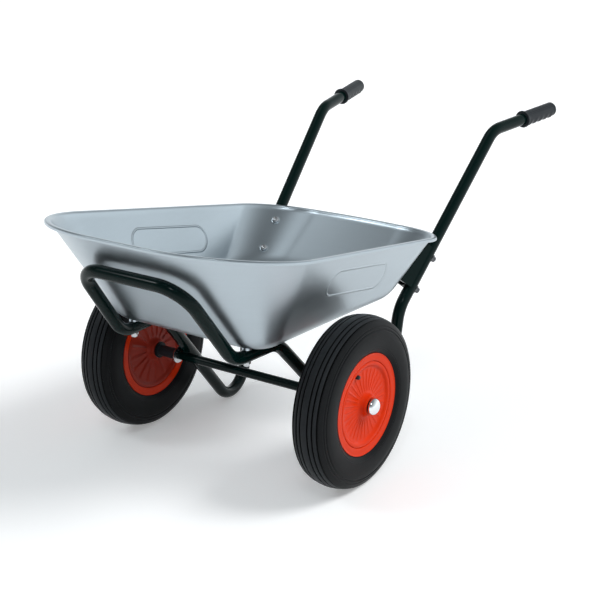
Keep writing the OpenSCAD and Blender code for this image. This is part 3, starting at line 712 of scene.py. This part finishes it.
class BARROW_OT_wheels(bpy.types.Operator):
    """Turn the tyres, the rims, the ribbed discs and the caps"""
    bl_idname = "barrow.wheels"
    bl_label = "Wheels"

    def execute(self, context):
        w = wheel()
        place = at_wheel()
        tyre, flange, seat = w.tyre_radius * 1000, w.flange_radius * 1000, w.seat_radius * 1000
        half = w.tyre_width * 500
        side = [(seat + 0.4, 19), (seat + 0.05, 24), (seat + 0.05, 31), (seat + 4, 32.4), (flange - 2, 32.6),
                (flange + 0.4, 33.9), (flange + 1.2, 36.2), (flange + 6, 39), (flange + 8, 40.4),
                (flange + 8.6, 40.2), (flange + 9.2, 41), (flange + 11.6, 41.8), (flange + 12.2, 41.3),
                (flange + 12.8, 42.2), (tyre - 60, half - 0.7), (tyre - 50, half), (tyre - 40, half - 0.1),
                (tyre - 34, half - 0.9), (tyre - 29.4, 42.3), (tyre - 28.6, 40.9), (tyre - 26.4, 40),
                (tyre - 25.6, 41.4), (tyre - 22, 40.6), (tyre - 21.2, 39.2), (tyre - 19.6, 38.6),
                (tyre - 18.8, 39.5), (tyre - 13.6, 37.2), (tyre - 10.4, 35.6)]
        tread = [(tyre - 7, 33.5), (tyre - 7.4, 32.6), (tyre - 9.4, 31.4), (tyre - 9.2, 29.6),
                 (tyre - 5.8, 28.9), (tyre - 4.9, 27.8), (tyre - 3, 22.6), (tyre - 3.6, 21.8),
                 (tyre - 6.6, 21.2), (tyre - 6.4, 18.8), (tyre - 3, 18.2), (tyre - 2.3, 17.4),
                 (tyre - 0.9, 11.8), (tyre - 1.6, 11), (tyre - 5, 10.5), (tyre - 4.8, 8.2),
                 (tyre - 1.2, 7.7), (tyre - 0.4, 6.9), (tyre, 0)]
        bore = [(tyre - 9.6, 0), (tyre - 11, 14), (tyre - 17, 27), (tyre - 30, 35.6), (tyre - 50, 38),
                (flange + 14, 36.4), (flange - 3, 26.4), (seat + 8, 21.4), (seat + 1.6, 19)]

        def whole(half_profile):
            return half_profile + [(r, -z) for r, z in reversed(half_profile[:-1])]

        outside = softened(whole(side + tread), 2)
        inside = [(r, -z) for r, z in reversed(bore[1:])] + bore
        band = [(88, 0), (88, 13), (seat - 2, 19.6), (seat, 22), (seat, 31.6), (seat + 1.4, 33),
                (flange - 2, 33.4), (flange, 34.6), (flange, 36.4), (flange - 1.6, 36.4), (flange - 3, 35.2),
                (seat + 0.5, 35), (seat - 2, 33), (seat - 2, 22.4), (seat - 3.4, 20.8), (86.6, 14.8),
                (86, 13.2), (86, 0)]
        ring = softened(band, 2)
        section = ring + [(r, -z) for r, z in reversed(ring[1:-1])]
        inwards = place @ Matrix.Rotation(pi, 4, "X")
        shapes = (
            ("tyre", "tyre_rubber", "tyre_rubber",
             turned("tyre", metres(outside + inside), place, TYRE_STEPS, smooth=ROUND_ANGLE)),
            ("rim", "wheel_paint", "wheel_paint",
             turned("rim", metres(section), place, RIM_STEPS, smooth=ROUND_ANGLE)),
            ("disc_outer", "wheel_paint", "wheel_paint",
             ribbed_disc("disc_outer", place, w.outer_ribs, height=1.3, sharpness=5)),
            # The inner discs take the red with painted shade
            ("disc_inner", "wheel_paint", "wheel_inside",
             ribbed_disc("disc_inner", inwards, w.inner_ribs, height=3.2, sharpness=8)),
        )
        for kind, slot, finish, piece in shapes:
            piece.name = piece.data.name = kind + "_left_shape"
            dressed_pair(piece, FINISHES[finish], slot, "wheel_left", kind + "_left")
        dome = softened([(20, 0), (20, 1.4), (19.6, 3.4), (18.3, 6.4), (15.9, 9.3), (12.2, 11.8), (7.6, 13.6),
                         (3.4, 14.5), (0.3, 14.8)], 2)
        cup = [(0.3, 13.2), (7, 12.1), (14.8, 7.9), (18.1, 2.8), (18.6, 0)]
        foot = place @ Matrix.Translation((0, 0, 0.051))
        cap = turned("cap_left_dome", metres(dome + cup), foot, smooth=ROUND_ANGLE)
        dressed_pair(cap, FINISHES["cap_chrome"], "cap_chrome", "frame", "cap_left")
        for side_name in ("left", "right"):
            for kind, slot in (("hub", "hub_paint"), ("bushes", "black_plastic"), ("valve", "tube_rubber"),
                               ("valve_cap", "black_plastic")):
                node = f"{kind}_{side_name}"
                dressed(copied(node, node + "_shape"), FINISHES[slot], slot, "wheel_" + side_name, node)
        sleeves = copied("axle_sleeves", "axle_sleeves_black")
        dressed(sleeves, FINISHES["black_plastic"], "black_plastic", "frame", "axle_sleeves")
        return {"FINISHED"}


# Finishes

class Field:
    """A number or vector that varies over a surface. Arithmetic on it adds maths nodes."""

    def __init__(self, tree, socket):
        self.tree = tree
        self.socket = socket

    def maths(self, operation, *values):
        node = self.tree.nodes.new("ShaderNodeMath")
        node.operation = operation
        for entry, value in zip(node.inputs, values):
            feed(self.tree, entry, value)
        return Field(self.tree, node.outputs[0])

    def __add__(self, other):
        return self.maths("ADD", self, other)

    def __radd__(self, other):
        return self.maths("ADD", other, self)

    def __sub__(self, other):
        return self.maths("SUBTRACT", self, other)

    def __rsub__(self, other):
        return self.maths("SUBTRACT", other, self)

    def __mul__(self, other):
        return self.maths("MULTIPLY", self, other)

    def __rmul__(self, other):
        return self.maths("MULTIPLY", other, self)

    def __truediv__(self, other):
        return self.maths("DIVIDE", self, other)

    def __pow__(self, other):
        return self.maths("POWER", self, other)

    def __abs__(self):
        return self.maths("ABSOLUTE", self)

    def at_least(self, other):
        return self.maths("MAXIMUM", self, other)

    def at_most(self, other):
        return self.maths("MINIMUM", self, other)


def feed(tree, entry, value):
    """Links a field to a node's input, or sets the input."""
    if isinstance(value, Field):
        tree.links.new(value.socket, entry)
    else:
        entry.default_value = value


class Shading:
    """A node tree that fields are made in."""

    def __init__(self, tree):
        self.tree = tree

    def node(self, kind, settings=None, inputs=None, output=0):
        node = self.tree.nodes.new(kind)
        for key, value in (settings or {}).items():
            setattr(node, key, value)
        for key, value in (inputs or {}).items():
            feed(self.tree, node.inputs[key], value)
        return Field(self.tree, node.outputs[output])

    def dot(self, vector, direction):
        inputs = {0: vector, 1: direction}
        return self.node("ShaderNodeVectorMath", {"operation": "DOT_PRODUCT"}, inputs, "Value")

    def seen(self):
        """1 where the camera, a reflection or a clear body shows a surface, 0 where it only lights others."""
        path = self.tree.nodes.new("ShaderNodeLightPath")
        shown = [Field(self.tree, path.outputs[ray])
                 for ray in ("Is Camera Ray", "Is Glossy Ray", "Is Transmission Ray")]
        return (shown[0] + shown[1] + shown[2]).at_most(1.0)

    def tint(self, factor, low, high):
        return self.node("ShaderNodeMix", {"data_type": "RGBA"}, {0: factor, 6: (*low, 1), 7: (*high, 1)}, 2)


class Finish(Shading):
    """One procedural material, built round its shader."""

    def __init__(self, name, **constants):
        self.material = bpy.data.materials.new(name)
        self.material.use_nodes = True
        super().__init__(self.material.node_tree)
        self.shader = self.tree.nodes["Principled BSDF"]
        self.where = self.node("ShaderNodeTexCoord", output="Object")
        for entry, value in constants.items():
            self.set(entry.replace("_", " "), value)

    def set(self, entry, value):
        if entry == "Base Color" and not isinstance(value, Field):
            value = (*value, 1)
        feed(self.tree, self.shader.inputs[entry], value)

    def stretched(self, x, y, z):
        return self.node("ShaderNodeVectorMath", {"operation": "MULTIPLY"}, {0: self.where, 1: (x, y, z)})

    def from_point(self, point):
        return self.node("ShaderNodeVectorMath", {"operation": "SUBTRACT"}, {0: self.where, 1: point})

    def noise(self, scale, detail=2.0, where=None):
        """Cloudy variation between 0 and 1."""
        inputs = {"Vector": where or self.where, "Scale": scale, "Detail": detail}
        return self.node("ShaderNodeTexNoise", None, inputs)

    def cells(self, scale):
        return self.node("ShaderNodeTexVoronoi", None, {"Vector": self.where, "Scale": scale}, "Color")

    def bump(self, height, distance):
        self.set("Normal", self.node("ShaderNodeBump", None, {"Height": height, "Distance": distance}))


FINISHES = {}
# Long bead pressed into both side walls, from the middle of the axle
BEAD_MIDDLE = Vector((0, 0.084, 0.259))
BEAD_FORWARD = Vector((0, 0.968, -0.249))
BEAD_UP = Vector((0, 0.271, 1.052))
BEAD_STRAIGHT, BEAD_RADIUS, BEAD_HALF_WIDTH, BEAD_HEIGHT = 0.097, 0.033, 0.003, 0.0012
SPANGLE_SCALE = 420.0
# Half the tread's width, how much lower its edges are than its middle, and the depth at which a groove starts
HALF_TREAD, TREAD_CROWN, GROOVE_DEPTH = 0.028, 0.0052, 0.0008


def shade(colour, factor):
    return tuple(c * factor for c in colour)


def sheet_finish():
    """Zinc coated sheet with the long bead pressed into the side walls."""
    zinc = colours().zinc
    f = Finish("zinc_sheet", Metallic=1.0)
    cloud = f.noise(9.0, 3.0)
    drawn = f.noise(1.0, 4.0, f.stretched(14.0, 14.0, 160.0))
    spangle = f.dot(f.cells(SPANGLE_SCALE), (0.33, 0.33, 0.33))
    tone = 0.50 * cloud + 0.3 * drawn + 0.20 * spangle
    f.set("Base Color", f.tint(tone, shade(zinc, 0.93), shade(zinc, 1.07)))
    f.set("Roughness", 0.26 + 0.09 * cloud + 0.03 * spangle)
    place = f.from_point(AXLE + BEAD_MIDDLE)
    beyond = (abs(f.dot(place, BEAD_FORWARD)) - BEAD_STRAIGHT).at_least(0.0)
    aside = f.dot(place, BEAD_UP)
    off = ((beyond * beyond + aside * aside) ** 0.5 - BEAD_RADIUS) / BEAD_HALF_WIDTH
    bead = (1.0 - off * off).at_least(0.0)
    f.bump(bead + f.noise(SPANGLE_SCALE, 2.0) * 0.003 + drawn * 0.012, BEAD_HEIGHT)
    FINISHES["sheet_steel"] = f.material


def tyre_finish():
    """Black rubber. The tread's ribs are painted lighter grey than the side walls, partly scuffing and partly
    painted highlight, and the grooves between them are painted near black as painted shade.
    """
    f = Finish("tyre_black", Specular_IOR_Level=0.07)
    reach = f.from_point(AXLE)
    aside = abs(abs(f.dot(reach, (1, 0, 0))) - HALF_TRACK) / HALF_TREAD
    up, ahead = f.dot(reach, (0, 0, 1)), f.dot(reach, (0, 1, 0))
    depth = wheel().tyre_radius - TREAD_CROWN * aside * aside - (up * up + ahead * ahead) ** 0.5
    # The tread is painted lighter than the side walls: painted highlight with some scuffing
    tread = ((1.12 - aside) * 30.0).at_least(0.0).at_most(1.0)
    # Painted shade: near black down in the grooves
    groove_shade = ((depth - GROOVE_DEPTH) * 700.0).at_least(0.0).at_most(1.0) * tread
    tone = (0.30 + 0.55 * tread) * (1.0 - 0.92 * groove_shade) * (0.85 + 0.3 * f.noise(60.0, 3.0))
    f.set("Base Color", f.tint(tone, (0, 0, 0), shade(colours().rubber, 3)))
    f.set("Roughness", 0.32 + 0.12 * f.noise(40.0))
    f.bump(f.noise(600.0, 2.0), 0.00005)
    FINISHES["tyre_rubber"] = f.material


def plain_finish(slot, name, roughness, variation, scale, **constants):
    """A finish whose roughness varies a little."""
    f = Finish(name, **constants)
    f.set("Roughness", roughness + variation * f.noise(scale))
    FINISHES[slot] = f.material
    return f


def make_finishes():
    c = colours()
    sheet_finish()
    tyre_finish()

    f = Finish("frame_green", Base_Color=tuple(c.green), Roughness=0.08, Specular_IOR_Level=0.12)
    f.bump(f.noise(180.0, 1.0), 0.00008)
    FINISHES["frame_paint"] = f.material

    f = plain_finish("wheel_paint", "wheel_red", 0.13, 0.08, 25.0, Base_Color=tuple(c.red),
                     Specular_IOR_Level=0.08)
    f.bump(f.noise(150.0, 1.0), 0.00008)
    # Painted shade: the inner discs sit in shade in the photo, so their red is painted darker and browner
    # than the outer discs' red
    shaded_red = Vector(c.red) * 0.45 + Vector((0.012, 0.012, 0.012))
    plain_finish("wheel_inside", "wheel_red_inside", 0.20, 0.10, 25.0, Base_Color=tuple(shaded_red),
                 Specular_IOR_Level=0.1)

    f = plain_finish("black_plastic", "black_plastic", 0.36, 0.12, 60.0, Base_Color=tuple(c.plastic),
                     Specular_IOR_Level=0.22)
    f.bump(f.noise(900.0), 0.00004)
    plain_finish("hub_paint", "hub_black", 0.30, 0.10, 60.0, Base_Color=shade(c.plastic, 0.5),
                 Specular_IOR_Level=0.12)
    plain_finish("tube_rubber", "tube_black", 0.50, 0.12, 60.0, Base_Color=tuple(c.rubber))

    plain_finish("cap_chrome", "cap_chrome", 0.10, 0.06, 80.0, Base_Color=(0.82, 0.84, 0.86), Metallic=1.0)
    f = plain_finish("bright_zinc", "bright_zinc", 0.22, 0.10, 90.0, Metallic=1.0)
    f.set("Base Color", f.tint(f.noise(120.0), (0.42, 0.44, 0.46), (0.56, 0.57, 0.58)))
    plain_finish("dull_zinc", "dull_zinc", 0.30, 0.10, 90.0, Base_Color=(0.16, 0.165, 0.17), Metallic=1.0)
    plain_finish("plain_steel", "plain_steel", 0.34, 0.10, 90.0, Base_Color=(0.45, 0.46, 0.48), Metallic=1.0)


class BARROW_OT_finishes(bpy.types.Operator):
    """Give the hidden steel parts the finish of their slot"""
    bl_idname = "barrow.finishes"
    bl_label = "Finishes"

    def execute(self, context):
        for subpart in frame["record"]["subparts"]:
            node = frame["nodes"][subpart["node"]]
            node.data.materials.clear()
            node.data.materials.append(FINISHES[subpart["material_slot"]])
        return {"FINISHED"}


# Width of the camera's sensor, in millimetres
SENSOR_WIDTH = 36
FLOOR_SIZE, FLOOR_DROP, FLOOR_GLOW, FLOOR_WHITE = 60, 0.0005, 0.26, (0.92, 0.92, 0.92)
# The key lamp: where it comes from, how wide it looks, and its power
KEY_DIRECTION, KEY_ANGLE, KEY_ENERGY = (0.62, 0.30, 0.72), radians(24), 1.7
# Plain light of the sky and its colour, and the white horizon's strength and the height where it ends
SKY_LIGHT, SKY_COLOUR = 0.17, (0.92, 0.97, 1.0)
HORIZON_LIGHT, HORIZON_HEIGHT = 0.84, 0.55
# Soft lights of the studio, over a white horizon and under a dark ceiling: direction, strength and narrowness
STUDIO = (
    ((0.60, 0.75, 0.22), 0.75, 4.0),
    ((-0.33, -0.02, 0.94), 1.10, 36.0),
    ((0.95, -0.10, 0.35), 0.35, 6.0),
    ((-0.50, 0.78, 0.36), 0.55, 10.0),
    ((0.30, -0.50, 0.80), 14.0, 260.0),
    ((-0.55, -0.45, 0.70), 12.0, 140.0),
)


class BARROW_OT_stage(bpy.types.Operator):
    """Set the camera, the pale floor and the soft studio light"""
    bl_idname = "barrow.stage"
    bl_label = "Stage"

    def execute(self, context):
        s = context.scene.barrow_stage
        level_back = Vector((sin(s.azimuth), -cos(s.azimuth), 0))
        back = level_back * cos(s.elevation) + Vector((0, 0, sin(s.elevation)))
        level = Vector((cos(s.azimuth), sin(s.azimuth), 0))
        right = level * cos(s.roll) + back.cross(level) * sin(s.roll)
        eye = Vector(s.eye) + Vector((0, AXLE.y, 0))
        alone()
        bpy.ops.object.camera_add()
        camera = context.object
        camera.matrix_world = (Matrix.Translation(eye)
                               @ Matrix((right, back.cross(right), back)).transposed().to_4x4())
        camera.data.lens = s.lens
        camera.data.sensor_width = SENSOR_WIDTH
        context.scene.camera = camera

        ground = Finish("floor_white", Base_Color=FLOOR_WHITE, Roughness=0.9, Specular_IOR_Level=0.0)
        ground.set("Emission Color", ground.tint(ground.seen(), (0, 0, 0), (1, 1, 1)))
        ground.set("Emission Strength", FLOOR_GLOW)
        alone()
        bpy.ops.mesh.primitive_plane_add(size=FLOOR_SIZE, location=(0, 0, -FLOOR_DROP))
        floor = context.object
        floor.name = "floor"
        floor.data.materials.append(ground.material)

        # The sky holds what shines, so the lamp itself isn't seen in the metal
        bpy.ops.object.light_add(type="SUN")
        lamp = context.object
        lamp.name = "key"
        lamp.rotation_euler = Vector(KEY_DIRECTION).to_track_quat("Z", "Y").to_euler()
        lamp.data.angle = KEY_ANGLE
        lamp.data.energy = KEY_ENERGY
        lamp.visible_glossy = False

        world = bpy.data.worlds.new("studio")
        world.use_nodes = True
        context.scene.world = world
        sky = Shading(world.node_tree)
        ray = sky.node("ShaderNodeTexCoord", output="Generated")
        light = SKY_LIGHT
        for direction, strength, spread in STUDIO:
            facing = sky.dot(ray, Vector(direction).normalized()).at_least(0.0)
            light = light + facing ** spread * strength
        # The horizon is white in the metal too, but lights nothing
        low = (1.0 - sky.dot(ray, (0, 0, 1)) / HORIZON_HEIGHT).at_least(0.0)
        light = light + sky.seen() * low * low * HORIZON_LIGHT
        white = sky.node("ShaderNodeLightPath", output="Is Camera Ray")
        background = world.node_tree.nodes["Background"]
        feed(sky.tree, background.inputs["Color"], sky.tint(white, SKY_COLOUR, (1, 1, 1)))
        feed(sky.tree, background.inputs["Strength"], light + white * (1.0 - light))
        context.scene.view_settings.view_transform = "Standard"
        return {"FINISHED"}


class BARROW_PT_panel(bpy.types.Panel):
    """Buttons that build the barrow piece by piece"""
    bl_idname = "BARROW_PT_panel"
    bl_label = "Two Wheel Wheelbarrow"
    bl_space_type = "VIEW_3D"
    bl_region_type = "UI"
    bl_category = "Barrow"

    def draw(self, context):
        for settings in SETTINGS:
            group = getattr(context.scene, settings)
            box = self.layout.box()
            for name in group.__annotations__:
                box.prop(group, name)
        for operator in OPERATORS:
            self.layout.operator(operator.bl_idname)


SETTINGS = {
    "barrow_tray": BarrowTraySettings,
    "barrow_frame": BarrowFrameSettings,
    "barrow_wheel": BarrowWheelSettings,
    "barrow_finish": BarrowFinishSettings,
    "barrow_stage": BarrowStageSettings,
}
OPERATORS = (BARROW_OT_tray, BARROW_OT_frame, BARROW_OT_fasteners, BARROW_OT_grips, BARROW_OT_wheels,
             BARROW_OT_finishes, BARROW_OT_stage)


def register():
    for cls in (*SETTINGS.values(), *OPERATORS, BARROW_PT_panel):
        bpy.utils.register_class(cls)
    for name, cls in SETTINGS.items():
        setattr(bpy.types.Scene, name, PointerProperty(type=cls))


def unregister():
    for name in SETTINGS:
        delattr(bpy.types.Scene, name)
    for cls in reversed((*SETTINGS.values(), *OPERATORS, BARROW_PT_panel)):
        bpy.utils.unregister_class(cls)


def main():
    register()
    make_finishes()
    for operator in OPERATORS:
        group, name = operator.bl_idname.split(".")
        getattr(getattr(bpy.ops, group), name)()
    bpy.context.view_layer.update()


if __name__ == "__main__":
    main()
